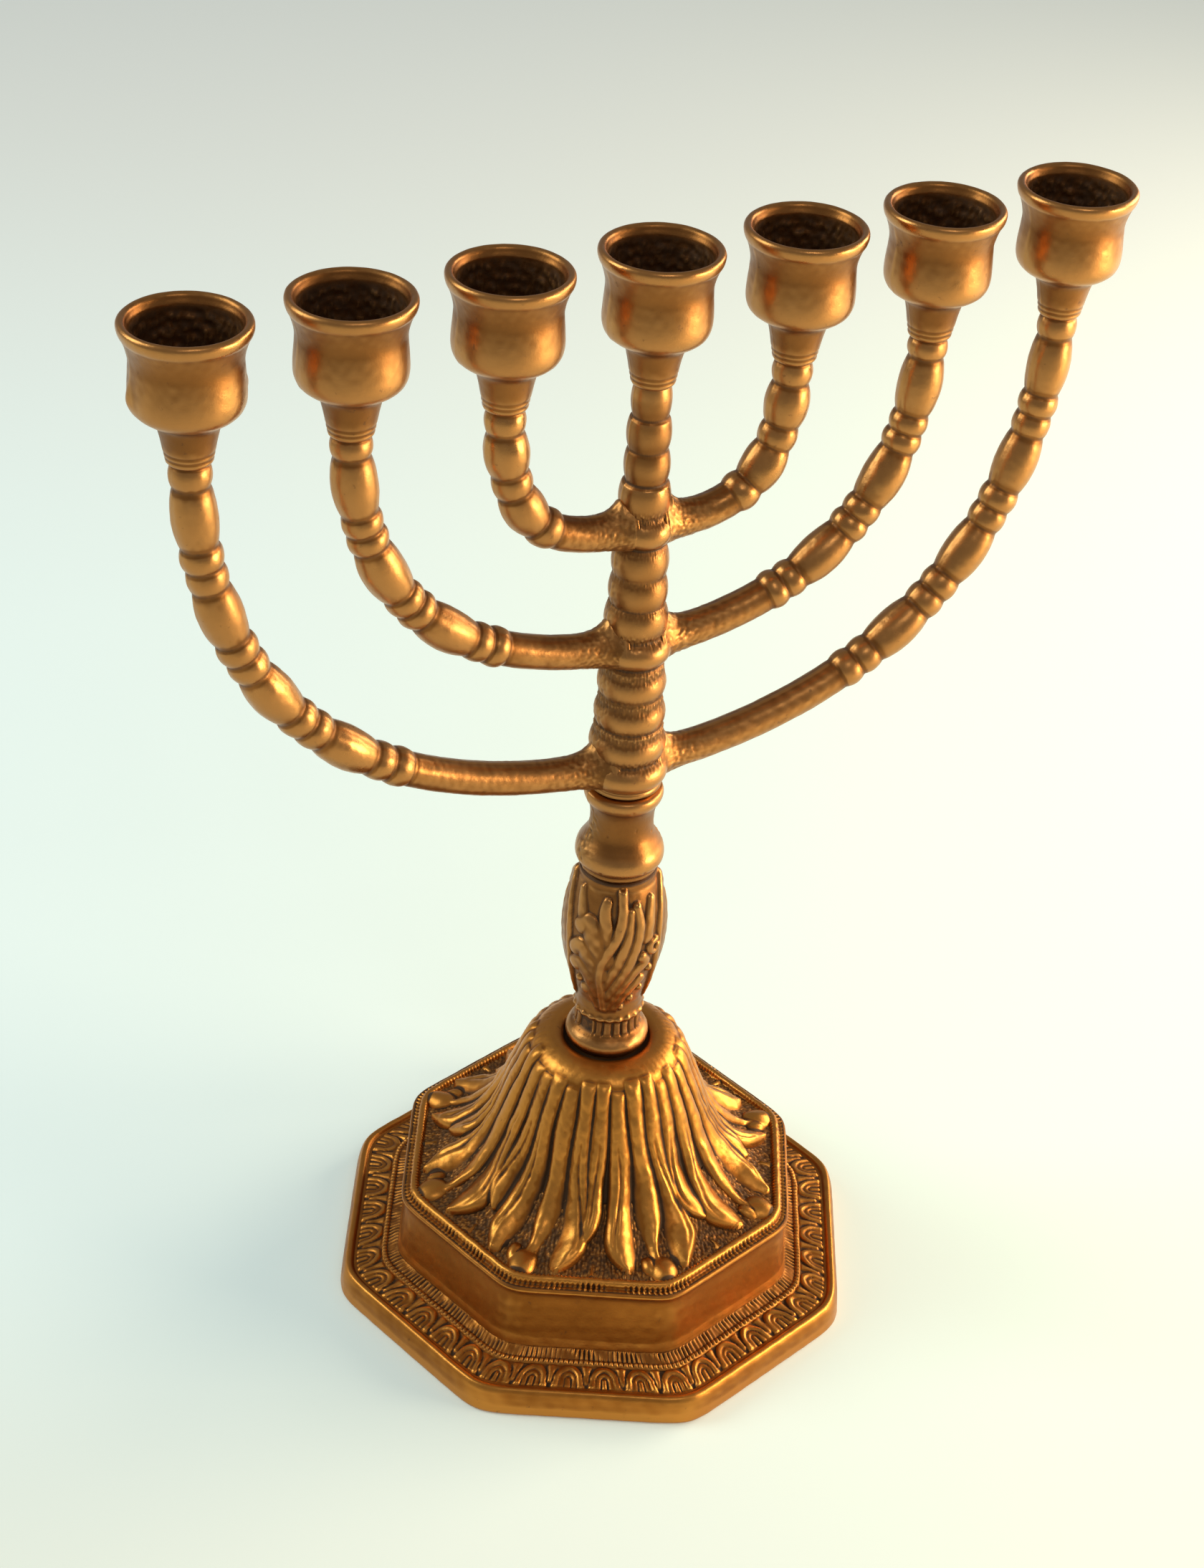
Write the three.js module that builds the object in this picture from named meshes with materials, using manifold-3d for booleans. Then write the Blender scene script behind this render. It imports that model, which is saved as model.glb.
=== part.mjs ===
// A seven-branched brass menorah: a candelabrum casting with beaded arms, on a spool collar, a leaf
// baluster and a stepped octagonal base with a domed top, drawn together by a tie rod with washers
// and a nut underneath.
// Millimetres, +Z up. The origin is on the table under the stem's axis, and the branches lie in the
// XZ plane.
import * as THREE from "three";
import { mergeVertices } from "three/addons/utils/BufferGeometryUtils.js";
import Module from "manifold-3d";

const wasm = await Module();
wasm.setup();

// Overall
const TOTAL_HEIGHT = 250;
const GAP = 0.3; // clearance between faces that meet
const DEGREE = Math.PI / 180;

// Candle cups, one every pitch along X
const CUP_COUNT = 7;
const CUP_PITCH = 30.7;
const CUP_HEIGHT = 27.5; // from the neck on the arm to the rim
const CUP_RADIUS = 11.65;
const CUP_BORE_RADIUS = 9.3;
const CUP_BORE_DEPTH = 15;
const NECK_RADIUS = 4.2;
const NECK_Z = TOTAL_HEIGHT - CUP_HEIGHT;

// Arms: level at the column, then one smooth sweep up to a vertical end under the cup
const ARM_ROD_RADIUS = 3.55;
const BEAD_RADIUS = 4.15;
const BEAD_WAIST = 3.3;
const STUB_REACH = 2.5; // how far the column's own arm stubs stand out of its hubs
const ARMS = [
  { name: "outer", cups: 3, level: 134.7, sweep: 46.4, rise: 63.2, barrels: 4, rings: 2 },
  { name: "middle", cups: 2, level: 163.9, sweep: 27.9, rise: 45.4, barrels: 3, rings: 2 },
  { name: "inner", cups: 1, level: 191, sweep: 15.2, rise: 31.6, barrels: 2, rings: 1 },
];
const BEAD_LENGTHS = {
  outer: { ring: 4.7, barrel: 12.6 },
  middle: { ring: 4.1, barrel: 12.4 },
  inner: { ring: 4.7, barrel: 9 },
};

// Column: a hub at each arm level, and a stack of beads above each hub
const COLUMN_FOOT_Z = 130.4;
const HUB_HALF_HEIGHT = 3.6;
const HUB_RADII = [8.8, 7.6, 6.2];
const STACK_RADII = [
  [8.0, 7.4, 7.1],
  [6.5, 6.0, 5.8],
  [5.2, 4.6, 4.4, 4.0],
];
const STACK_WAIST = 0.88; // a bead's ends, as a share of its belly

// Spool collar and baluster
const COLLAR_FOOT_Z = 109.3;
const COLLAR_HEIGHT = 20.8;
const BALUSTER_FOOT_Z = 62.3;
const BALUSTER_TOP_Z = COLLAR_FOOT_Z - GAP;
const STEM_BORE_RADIUS = 3.4;

// Base: two octagonal tiers given across flats, and a bell-shaped dome
const BASE_TURN = -27.5; // degrees from the branch plane to the octagon's own axes
const LOWER_FLATS = 115;
const LOWER_HEIGHT = 6.8;
const MIDDLE_FLATS = 88.5;
const MIDDLE_HEIGHT = 26.8;
const DOME_FOOT_RADIUS = 38;
const DOME_WAIST_RADIUS = 24.1;
const DOME_WAIST_Z = 41.2;
const SEAT_Z = BALUSTER_FOOT_Z - GAP;
const SEAT_RADIUS = 10.8;
const BASE_WALL = 3;
const BOSS_THICKNESS = 6;
const MIDDLE_FOOT_Z = LOWER_HEIGHT + 1.9;
const LOWER_HOLLOW_FLATS = LOWER_FLATS - 9;
const MIDDLE_HOLLOW_FLATS = MIDDLE_FLATS - 6;
const DOME_HOLLOW_RADIUS = 31;

// Tie rod and its fasteners, M6
const ROD_RADIUS = 2.9;
const ROD_TOP_Z = 150;
const ROD_BOTTOM_Z = 42;
const WASHER_RADIUS = 6;
const WASHER_THICKNESS = 1.6;
const LOCK_WASHER_RADIUS = 5.6;
const LOCK_WASHER_SPLIT = 1.2;
const NUT_FLATS = 10;
const NUT_THICKNESS = 5;
const FASTENER_BORE_RADIUS = 3.25;

const OCTAGON = 8;
const HEXAGON = 6;

function metal(color, roughness) {
  return () => new THREE.MeshStandardMaterial({ color, roughness, metalness: 1 });
}
const brass = metal(0x9a6f38, 0.38);
const goldenBrass = metal(0xb07f35, 0.32);
const steel = metal(0x8d8b86, 0.45);

// A solid of revolution about Z from [radius, z] pairs, listed upwards on the outside.
function turned(profile, sides) {
  const points = profile.map(([radius, z]) => new THREE.Vector2(radius, z));
  return new THREE.LatheGeometry(points, sides).rotateX(Math.PI / 2);
}

// A regular prism-like solid whose flats, not corners, face the axes. Its profile is given across flats.
function faceted(profile, sides) {
  const toCorner = 1 / Math.cos(Math.PI / sides);
  const corners = profile.map(([flats, z]) => [(flats / 2) * toCorner, z]);
  return turned(corners, sides).rotateZ(Math.PI / sides);
}

// A tube wall: the outside profile upwards, then straight down the bore and back to the start.
function bored(outside, radius) {
  const low = outside[0][1];
  const high = outside[outside.length - 1][1];
  return [[radius, low], ...outside, [radius, high], [radius, low]];
}

function solidOf(geometry) {
  geometry.deleteAttribute("normal");
  geometry.deleteAttribute("uv");
  const merged = mergeVertices(geometry);
  const vertProperties = merged.attributes.position.array;
  const triVerts = new Uint32Array(merged.index.array);
  return new wasm.Manifold(new wasm.Mesh({ numProp: 3, vertProperties, triVerts }));
}

function geometryOf(solid) {
  const { vertProperties, triVerts } = solid.getMesh();
  const geometry = new THREE.BufferGeometry();
  geometry.setAttribute("position", new THREE.BufferAttribute(vertProperties, 3));
  geometry.setIndex(new THREE.BufferAttribute(triVerts, 1));
  const facets = geometry.toNonIndexed();
  facets.computeVertexNormals();
  return facets;
}

function named(name, geometry, material) {
  const mesh = new THREE.Mesh(geometry, material);
  mesh.name = name;
  return mesh;
}

// One round bead as [radius, position] pairs, from its first waist up to, but without, its last.
function bead(start, length, waist, belly, steps) {
  return Array.from({ length: steps }, (_, i) => {
    const u = i / steps;
    return [waist + (belly - waist) * Math.sin(Math.PI * u), start + length * u];
  });
}

// A rod of round section along a curve in the XZ plane, from [radius, distance along the curve] pairs.
function rodAlong(curve, profile, sides) {
  const points = profile.map(([radius, distance]) => new THREE.Vector2(radius, distance));
  const geometry = new THREE.LatheGeometry(points, sides);
  const place = geometry.attributes.position;
  const length = curve.getLength();
  for (let i = 0; i < place.count; i++) {
    const u = Math.min(1, Math.max(0, place.getY(i) / length));
    const centre = curve.getPointAt(u);
    const along = curve.getTangentAt(u);
    const across = new THREE.Vector3(-along.z, 0, along.x).multiplyScalar(place.getX(i));
    const depth = new THREE.Vector3(0, place.getZ(i), 0);
    const moved = centre.add(across).add(depth);
    place.setXYZ(i, moved.x, moved.y, moved.z);
  }
  return geometry;
}

function armCurve(arm, side) {
  const reach = arm.cups * CUP_PITCH;
  const top = NECK_Z - GAP;
  const curve = new THREE.CubicBezierCurve3(
    new THREE.Vector3(0, 0, arm.level),
    new THREE.Vector3(side * arm.sweep, 0, arm.level),
    new THREE.Vector3(side * reach, 0, top - arm.rise),
    new THREE.Vector3(side * reach, 0, top),
  );
  curve.arcLengthDivisions = 400;
  return curve;
}

// Where the column's stub ends and the arm begins, as a distance along the arm's curve.
function stubLength(arm) {
  return HUB_RADII[ARMS.indexOf(arm)] + STUB_REACH;
}

// The beads of an arm, listed from the plain rod up to the cup: rings and barrels by turns, then one ring.
function armBeads(arm) {
  const kinds = [];
  for (let i = 0; i < arm.barrels; i++) {
    for (let k = 0; k < arm.rings; k++) kinds.push("ring");
    kinds.push("barrel");
  }
  return [...kinds, "ring"];
}

function armGeometry(arm, side) {
  const curve = armCurve(arm, side);
  const length = curve.getLength();
  const beads = armBeads(arm);
  const lengths = BEAD_LENGTHS[arm.name];
  const beaded = beads.reduce((sum, kind) => sum + lengths[kind], 0);
  const start = stubLength(arm) + GAP;
  const rodEnd = length - beaded;
  const rodSteps = Math.ceil((rodEnd - start) / 6);
  const profile = [[0, start]];
  for (let i = 0; i < rodSteps; i++) {
    profile.push([ARM_ROD_RADIUS, start + ((rodEnd - start) * i) / rodSteps]);
  }
  let reached = rodEnd;
  for (const kind of beads) {
    const steps = kind === "ring" ? 3 : 4;
    profile.push(...bead(reached, lengths[kind], BEAD_WAIST, BEAD_RADIUS, steps));
    reached += lengths[kind];
  }
  profile.push([BEAD_WAIST, length], [0, length]);
  return rodAlong(curve, profile, 10);
}

// The column's outside, from its foot to the centre cup's neck.
function columnOutside() {
  const outside = [[HUB_RADII[0] - 0.9, COLUMN_FOOT_Z]];
  ARMS.forEach((arm, stage) => {
    const hub = HUB_RADII[stage];
    const next = stage + 1 < ARMS.length ? ARMS[stage + 1].level - HUB_HALF_HEIGHT : NECK_Z - GAP;
    const stackFoot = arm.level + HUB_HALF_HEIGHT;
    const radii = STACK_RADII[stage];
    const step = (next - stackFoot) / radii.length;
    outside.push([hub - 0.3, arm.level - 2], [hub, arm.level], [hub - 0.5, arm.level + 2]);
    radii.forEach((belly, i) => {
      outside.push(...bead(stackFoot + step * i, step, belly * STACK_WAIST, belly, 3));
    });
  });
  outside.push([BEAD_WAIST + 0.2, NECK_Z - GAP]);
  return outside;
}

function columnGeometry() {
  const bore = ROD_RADIUS + GAP;
  const boreTop = ROD_TOP_Z + 0.5;
  const foot = COLUMN_FOOT_Z;
  const profile = [[0, boreTop], [bore, boreTop], [bore, foot], ...columnOutside(), [0, NECK_Z - GAP]];
  let solid = solidOf(turned(profile, 20));
  for (const arm of ARMS) {
    for (const side of [-1, 1]) {
      const end = stubLength(arm);
      const inside = bore + 1.5;
      const stub = [[0, inside], [ARM_ROD_RADIUS, inside], [ARM_ROD_RADIUS, end], [0, end]];
      solid = solid.add(solidOf(rodAlong(armCurve(arm, side), stub, 10)));
    }
  }
  return geometryOf(solid);
}

// A flared cup on a cone, its bore open at the top. Heights are taken down from the rim.
function cupGeometry() {
  const rim = CUP_HEIGHT;
  const floor = rim - CUP_BORE_DEPTH;
  const profile = [
    [0, 0],
    [NECK_RADIUS, 0],
    [NECK_RADIUS + 0.5, 2],
    [NECK_RADIUS + 0.8, rim - 23.6],
    [NECK_RADIUS + 1.8, rim - 20.2],
    [NECK_RADIUS + 3.1, rim - 19.4],
    [CUP_RADIUS - 3, rim - 18.2],
    [CUP_RADIUS - 1.7, rim - 16.6],
    [CUP_RADIUS - 1.1, rim - 14],
    [CUP_RADIUS - 1.3, rim - 9],
    [CUP_RADIUS - 1.3, rim - 6.4],
    [CUP_RADIUS - 0.6, rim - 3.6],
    [CUP_RADIUS, rim - 1.6],
    [CUP_RADIUS - 0.7, rim - 0.2],
    [CUP_RADIUS - 1.4, rim],
    [CUP_BORE_RADIUS, rim - 1.2],
    [CUP_BORE_RADIUS, floor],
    [0, floor],
  ];
  return turned(profile, 20);
}

function collarGeometry() {
  const foot = COLLAR_FOOT_Z;
  const top = foot + COLLAR_HEIGHT;
  const outside = [
    [7.9, foot],
    [8.5, foot + 1.6],
    [9.4, foot + 3.6],
    [9.6, foot + 5],
    [9.1, foot + 6.8],
    [7.9, foot + 8.8],
    [7, foot + 11],
    [6.6, foot + 13.5],
    [7, top - 4.6],
    [8, top - 3],
    [8.4, top - 1.8],
    [8.1, top - 0.6],
    [7.4, top],
  ];
  return turned(bored(outside, STEM_BORE_RADIUS), 28);
}

function balusterGeometry() {
  const foot = BALUSTER_FOOT_Z;
  const outside = [
    [8.2, foot],
    [9.1, foot + 1.3],
    [9.1, foot + 3.1],
    [8.2, foot + 4.5],
    [7.2, foot + 5.2],
    [7.2, foot + 8.6],
    [7.8, foot + 9.4],
    [7.3, foot + 11],
    [7.7, 76],
    [9.4, 82],
    [10.8, 88],
    [11.3, 94],
    [10.8, 100],
    [9.6, 105.5],
    [8.3, BALUSTER_TOP_Z],
  ];
  return turned(bored(outside, STEM_BORE_RADIUS), 28);
}

// The base is one shell on the real object. Its tiers and dome are closed rings here, a gap apart.
function lowerTierGeometry() {
  const foot = LOWER_FLATS;
  const profile = [
    [foot, 0],
    [foot - 2.2, LOWER_HEIGHT - 0.8],
    [foot - 3.6, LOWER_HEIGHT],
    [foot - 6, LOWER_HEIGHT - 0.5],
    [MIDDLE_FLATS + 4, LOWER_HEIGHT + 0.9],
    [MIDDLE_FLATS, MIDDLE_FOOT_Z - GAP],
    [MIDDLE_HOLLOW_FLATS, MIDDLE_FOOT_Z - GAP],
    [MIDDLE_HOLLOW_FLATS, LOWER_HEIGHT - BASE_WALL],
    [LOWER_HOLLOW_FLATS - 2, LOWER_HEIGHT - BASE_WALL],
    [LOWER_HOLLOW_FLATS, 0],
    [foot, 0],
  ];
  return faceted(profile, OCTAGON);
}

function middleTierGeometry() {
  const wall = MIDDLE_FLATS;
  const top = MIDDLE_HEIGHT - 0.8;
  const profile = [
    [wall, MIDDLE_FOOT_Z],
    [wall - 2, MIDDLE_HEIGHT - 3.4],
    [wall - 0.6, MIDDLE_HEIGHT - 2.2],
    [wall - 4.5, MIDDLE_HEIGHT - 1.6],
    [wall - 6.5, MIDDLE_HEIGHT],
    [wall - 9.5, top],
    [2 * DOME_HOLLOW_RADIUS, top],
    [2 * DOME_HOLLOW_RADIUS, top - BASE_WALL],
    [MIDDLE_HOLLOW_FLATS - 3, top - BASE_WALL],
    [MIDDLE_HOLLOW_FLATS, MIDDLE_FOOT_Z],
    [wall, MIDDLE_FOOT_Z],
  ];
  return faceted(profile, OCTAGON);
}

function domeFootGeometry() {
  const foot = MIDDLE_HEIGHT - 0.8 + GAP;
  const profile = [
    [DOME_FOOT_RADIUS, foot],
    [DOME_FOOT_RADIUS - 1, MIDDLE_HEIGHT + 0.7],
    [31.2, 30.8],
    [26.8, 35.8],
    [DOME_WAIST_RADIUS, DOME_WAIST_Z],
    [DOME_WAIST_RADIUS - BASE_WALL, DOME_WAIST_Z],
    [23, 35.5],
    [27.6, 30],
    [DOME_HOLLOW_RADIUS, foot],
    [DOME_FOOT_RADIUS, foot],
  ];
  return turned(profile, 40);
}

function domeNeckGeometry() {
  const foot = DOME_WAIST_Z + GAP;
  const bossZ = SEAT_Z - BOSS_THICKNESS;
  const profile = [
    [DOME_WAIST_RADIUS, foot],
    [21.9, 47],
    [20.2, 53],
    [18.6, 58],
    [16.6, 61.5],
    [14, 63.5],
    [11.6, 63.6],
    [SEAT_RADIUS, SEAT_Z],
    [STEM_BORE_RADIUS, SEAT_Z],
    [STEM_BORE_RADIUS, bossZ],
    [13, bossZ],
    [15.2, 53],
    [18.2, 45],
    [DOME_WAIST_RADIUS - BASE_WALL, foot],
    [DOME_WAIST_RADIUS, foot],
  ];
  return turned(profile, 40);
}

function tieRodGeometry() {
  const chamfer = 0.5;
  const profile = [
    [0, ROD_BOTTOM_Z],
    [ROD_RADIUS - chamfer, ROD_BOTTOM_Z],
    [ROD_RADIUS, ROD_BOTTOM_Z + chamfer],
    [ROD_RADIUS, ROD_TOP_Z - chamfer],
    [ROD_RADIUS - chamfer, ROD_TOP_Z],
    [0, ROD_TOP_Z],
  ];
  return turned(profile, 24);
}

function washerGeometry(radius) {
  return turned(bored([[radius, 0], [radius, WASHER_THICKNESS]], FASTENER_BORE_RADIUS), 24);
}

function lockWasherGeometry() {
  const split = new THREE.BoxGeometry(LOCK_WASHER_RADIUS * 2, LOCK_WASHER_SPLIT, WASHER_THICKNESS * 3);
  split.translate(LOCK_WASHER_RADIUS, 0, 0);
  return geometryOf(solidOf(washerGeometry(LOCK_WASHER_RADIUS)).subtract(solidOf(split)));
}

function nutGeometry() {
  const prism = faceted([[0, 0], [NUT_FLATS, 0], [NUT_FLATS, NUT_THICKNESS], [0, NUT_THICKNESS]], HEXAGON);
  const low = -1;
  const high = NUT_THICKNESS + 1;
  const bore = turned([[0, low], [FASTENER_BORE_RADIUS, low], [FASTENER_BORE_RADIUS, high], [0, high]], 24);
  return geometryOf(solidOf(prism).subtract(solidOf(bore)));
}

const menorah = new THREE.Group();

const base = new THREE.Group();
base.rotation.z = BASE_TURN * DEGREE;
base.add(named("base_lower_tier", lowerTierGeometry(), goldenBrass()));
base.add(named("base_middle_tier", middleTierGeometry(), goldenBrass()));
base.add(named("base_dome_foot", domeFootGeometry(), goldenBrass()));
base.add(named("base_dome_neck", domeNeckGeometry(), goldenBrass()));
menorah.add(base);
menorah.add(named("leaf_baluster", balusterGeometry(), brass()));
menorah.add(named("spool_collar", collarGeometry(), brass()));
menorah.add(named("tie_rod", tieRodGeometry(), steel()));

const candelabrum = new THREE.Group();
candelabrum.add(named("centre_column", columnGeometry(), brass()));
for (const arm of ARMS) {
  candelabrum.add(named(`arm_${arm.name}_left`, armGeometry(arm, -1), brass()));
  candelabrum.add(named(`arm_${arm.name}_right`, armGeometry(arm, 1), brass()));
}
for (let i = 0; i < CUP_COUNT; i++) {
  const cup = named(`candle_cup_${i + 1}`, cupGeometry(), brass());
  cup.position.set((i - (CUP_COUNT - 1) / 2) * CUP_PITCH, 0, NECK_Z);
  candelabrum.add(cup);
}
menorah.add(candelabrum);

// The fasteners hang in a stack under the boss inside the base, each a gap below the last.
const plainWasher = named("plain_washer", washerGeometry(WASHER_RADIUS), steel());
plainWasher.position.z = SEAT_Z - BOSS_THICKNESS - GAP - WASHER_THICKNESS;
const lockWasher = named("lock_washer", lockWasherGeometry(), steel());
lockWasher.position.z = plainWasher.position.z - GAP - WASHER_THICKNESS;
const nut = named("hex_nut", nutGeometry(), steel());
nut.position.z = lockWasher.position.z - GAP - NUT_THICKNESS;
menorah.add(plainWasher, lockWasher, nut);

export default menorah;
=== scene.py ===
import math

import bpy
import numpy as np
from mathutils import Matrix, Vector


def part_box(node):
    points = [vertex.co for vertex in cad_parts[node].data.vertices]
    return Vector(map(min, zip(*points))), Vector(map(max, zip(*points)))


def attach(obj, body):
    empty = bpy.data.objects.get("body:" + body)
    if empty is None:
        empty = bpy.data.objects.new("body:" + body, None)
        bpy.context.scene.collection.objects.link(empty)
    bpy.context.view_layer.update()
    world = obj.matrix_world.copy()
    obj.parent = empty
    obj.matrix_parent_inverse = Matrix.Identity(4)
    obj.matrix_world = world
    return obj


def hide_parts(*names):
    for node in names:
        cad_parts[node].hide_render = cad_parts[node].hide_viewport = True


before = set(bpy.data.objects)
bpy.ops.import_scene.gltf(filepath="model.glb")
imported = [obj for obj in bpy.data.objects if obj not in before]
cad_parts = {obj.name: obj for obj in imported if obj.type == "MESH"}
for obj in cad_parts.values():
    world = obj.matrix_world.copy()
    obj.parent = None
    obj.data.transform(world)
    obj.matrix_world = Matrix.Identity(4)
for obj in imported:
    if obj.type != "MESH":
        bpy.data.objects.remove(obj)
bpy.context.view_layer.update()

MM = 0.001
TAU = 2 * math.pi
RNG_SEED = 7


# Numeric helpers. Lengths are in millimetres until a mesh is made.


def ramp(low, high, value):
    """0 below low, 1 above high, smooth between them."""
    t = np.clip((np.asarray(value, float) - low) / (high - low), 0, 1)
    return t * t * (3 - 2 * t)


def dome_of(distance, width, power=2.0):
    """A rounded bump: 1 at its middle, 0 from its width outwards."""
    t = np.clip(np.abs(distance) / width, 0, 1)
    return (1 - t**power) ** (1 / power)


def hashed(i, j, seed):
    """A repeatable pseudo-random number from 0 to 1 for each pair of whole numbers."""
    v = np.sin(i * 127.1 + j * 311.7 + seed * 74.7) * 43758.5453
    return v - np.floor(v)


def lumps(points, size, seed, waves=14):
    """A smooth random field, about -1 to 1, with features about as large as size."""
    rng = np.random.default_rng(RNG_SEED + seed)
    total = np.zeros(points.shape[:-1])
    for _ in range(waves):
        direction = rng.normal(size=3)
        direction *= TAU / (size * 2.2) * rng.uniform(0.6, 1.5) / np.linalg.norm(direction)
        total += np.sin(points @ direction + rng.uniform(0, TAU))
    return total / math.sqrt(waves / 2) / 1.6


def cells(x, y, size, seed):
    """Distance to the nearest of a jittered grid of points, in cells."""
    u, v = x / size, y / size
    iu, iv = np.floor(u), np.floor(v)
    nearest = np.full(np.shape(u), 9.0)
    for di in (-1, 0, 1):
        for dj in (-1, 0, 1):
            ci, cj = iu + di, iv + dj
            px = ci + 0.15 + 0.7 * hashed(ci, cj, seed)
            py = cj + 0.15 + 0.7 * hashed(ci, cj, seed + 5)
            nearest = np.minimum(nearest, np.hypot(u - px, v - py))
    return nearest


def spline(points, per_segment):
    """Points along a smooth line through the given ones.

    Each segment is cut in per_segment steps, one number for all or a list.
    """
    p = np.array(points, float)
    counts = per_segment if isinstance(per_segment, list) else [per_segment] * (len(p) - 1)
    before = np.vstack([2 * p[0] - p[1], p, 2 * p[-1] - p[-2]])
    out = []
    for i, count in enumerate(counts):
        a, b, c, d = before[i], before[i + 1], before[i + 2], before[i + 3]
        chord = np.linalg.norm(c - b) + 1e-9
        into = (c - a) / (np.linalg.norm(b - a) + chord) * chord
        away = (d - b) / (np.linalg.norm(d - c) + chord) * chord
        t = (np.arange(count) / count)[:, None]
        leaving = (2 * t**3 - 3 * t**2 + 1) * b + (t**3 - 2 * t**2 + t) * into
        out.append(leaving + (3 * t**2 - 2 * t**3) * c + (t**3 - t**2) * away)
    return np.vstack(out + [p[-1:]])


def straight(points, steps):
    """Points along straight segments, steps apart at most."""
    out = []
    for a, b in zip(points[:-1], points[1:]):
        a, b = np.array(a, float), np.array(b, float)
        n = max(1, int(math.ceil(np.linalg.norm(b - a) / steps)))
        out.append(a + (b - a) * (np.arange(n) / n)[:, None])
    return np.vstack(out + [np.array(points[-1:], float)])


def along(profile):
    """Distance travelled along a profile at each of its points."""
    return np.concatenate([[0], np.cumsum(np.linalg.norm(np.diff(profile, axis=0), axis=1))])


def normals_of(grid, loop):
    """Outward unit normals of a grid that closes around axis 1, and around axis 0 too if loop."""
    du = np.roll(grid, -1, 1) - np.roll(grid, 1, 1)
    if loop:
        dv = np.roll(grid, -1, 0) - np.roll(grid, 1, 0)
    else:
        dv = np.gradient(grid, axis=0)
    n = np.cross(du, dv)
    length = np.linalg.norm(n, axis=-1, keepdims=True)
    return n / np.maximum(length, 1e-9)


def blurred(grid, reach_v, reach_u, loop):
    """The grid's points, each averaged with its neighbours."""
    out = grid
    for axis, reach in ((0, reach_v), (1, reach_u)):
        total = out.copy()
        for k in range(1, reach + 1):
            if axis == 1 or loop:
                total = total + np.roll(out, k, axis) + np.roll(out, -k, axis)
            else:
                up = np.concatenate([out[k:], np.repeat(out[-1:], k, 0)])
                down = np.concatenate([np.repeat(out[:1], k, 0), out[:-k]])
                total = total + up + down
        out = total / (2 * reach + 1)
    return out


def hollowness(grid, reach_v, reach_u, loop):
    """How far each point lies below its surroundings: positive in hollows, negative on ridges."""
    smooth = blurred(blurred(grid, reach_v, reach_u, loop), reach_v, reach_u, loop)
    return np.einsum("ijk,ijk->ij", smooth - grid, normals_of(smooth, loop))


# Pieces


def piece(
    name, grid, material, body, slot, stands_for=(), loop=True, sand=0, grime_and_shade=0, fine=(2, 2), broad=(7, 7)
):
    """A closed mesh from a grid of points in millimetres.

    Without loop, the grid's first and last rings are capped. Fine and broad are reaches in grid steps.
    """
    rows, columns = grid.shape[:2]
    hollows = {
        "fine": hollowness(grid, *fine, loop),
        "broad": hollowness(grid, *broad, loop),
        "sand": np.broadcast_to(sand, (rows, columns)).astype(float),
        # Extra darkening: dirt on the pebbled ground and the milled strip, painted shade in the dome's
        # crevices, the baluster's slots and the cups' bores, and darker valleys on the column.
        "grime_and_shade": np.broadcast_to(grime_and_shade, (rows, columns)).astype(float),
    }
    index = np.arange(rows * columns).reshape(rows, columns)
    lower = index if loop else index[:-1]
    upper = np.roll(index, -1, 0) if loop else index[1:]
    quads = np.stack([lower, np.roll(lower, -1, 1), np.roll(upper, -1, 1), upper], -1)
    quads = quads.reshape(-1, 4)
    points = grid.reshape(-1, 3)
    values = {k: v.reshape(-1) for k, v in hollows.items()}
    loops = quads.reshape(-1)
    sizes = np.full(len(quads), 4)
    if not loop:
        middles = np.stack([grid[0].mean(0), grid[-1].mean(0)])
        first, last = len(points), len(points) + 1
        points = np.vstack([points, middles])
        values = {k: np.append(v, [v[0], v[-1]]) for k, v in values.items()}
        low, high = index[0], index[-1]
        fan_low = np.stack([np.full(columns, first), np.roll(low, -1), low], -1)
        fan_high = np.stack([np.full(columns, last), high, np.roll(high, -1)], -1)
        loops = np.concatenate([loops, fan_low.reshape(-1), fan_high.reshape(-1)])
        sizes = np.concatenate([sizes, np.full(2 * columns, 3)])
    mesh = bpy.data.meshes.new(name)
    mesh.vertices.add(len(points))
    mesh.vertices.foreach_set("co", (points * MM).astype(np.float32).reshape(-1))
    mesh.loops.add(len(loops))
    mesh.loops.foreach_set("vertex_index", loops.astype(np.int32))
    mesh.polygons.add(len(sizes))
    starts = np.concatenate([[0], np.cumsum(sizes)[:-1]])
    mesh.polygons.foreach_set("loop_start", starts.astype(np.int32))
    mesh.polygons.foreach_set("use_smooth", np.ones(len(sizes), bool))
    for key, value in values.items():
        attribute = mesh.attributes.new(key, "FLOAT", "POINT")
        attribute.data.foreach_set("value", value.astype(np.float32))
    mesh.update(calc_edges=True)
    mesh.validate()
    mesh.materials.append(material)
    obj = bpy.data.objects.new(name, mesh)
    bpy.context.scene.collection.objects.link(obj)
    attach(obj, body)
    if stands_for:
        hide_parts(*stands_for)


def around_stem(radius, angle, z):
    """Points at these radii, angles and heights about the stem's axis."""
    shape = np.broadcast_shapes(np.shape(radius), np.shape(angle), np.shape(z))
    return np.stack([radius * np.cos(angle), radius * np.sin(angle), np.broadcast_to(z, shape)], -1)


def turned(profile, count):
    """A [radius, z] profile turned about the stem's axis, and the angle of each column."""
    angle = np.arange(count) / count * TAU
    return around_stem(profile[:, :1], angle, profile[:, 1:]), angle


def raised(grid, height, loop=True):
    """The grid pushed out along its normals."""
    return grid + normals_of(grid, loop) * height[..., None]


def turned_about_z(grid, degrees):
    """The grid turned anticlockwise about the stem's axis."""
    c, s = math.cos(math.radians(degrees)), math.sin(math.radians(degrees))
    return grid @ np.array([[c, s, 0], [-s, c, 0], [0, 0, 1]])


# Materials


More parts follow.
